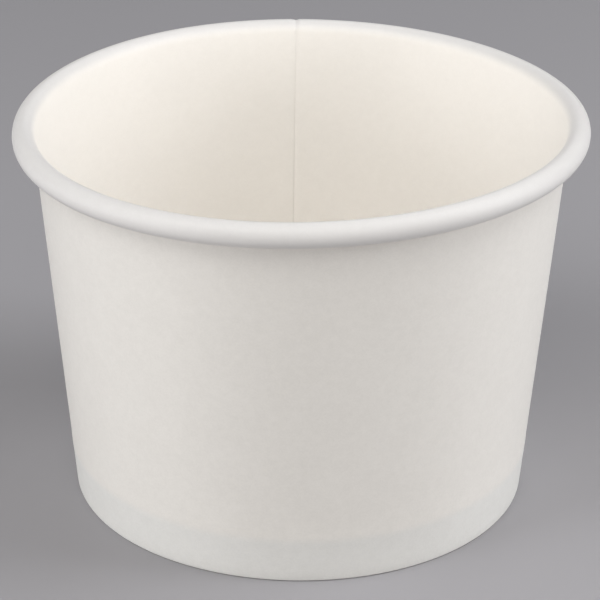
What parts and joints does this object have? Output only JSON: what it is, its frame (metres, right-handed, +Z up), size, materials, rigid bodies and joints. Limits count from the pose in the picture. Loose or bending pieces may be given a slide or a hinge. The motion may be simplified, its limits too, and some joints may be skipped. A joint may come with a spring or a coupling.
{
  "type": "paper sundae cup",
  "caption": "Short, wide paper food cup: a tapered wall with a lapped seam, a rolled rim and a folded foot round a raised bottom disc.",
  "frame": {"origin": "on the floor, at the middle of the foot", "axes": "+Z up the cup's axis, through its mouth; -Y towards the front; the side seam is at the back, at +Y"},
  "size_m": [0.095, 0.095, 0.0662],
  "materials": {
    "wall_board": "matt white coated board, warmer on the food side",
    "bottom_board": "matt white coated board"
  },
  "bodies": {
    "root": {"side_wall": "wall_board", "bottom_disc": "bottom_board"}
  },
  "joints": []
}
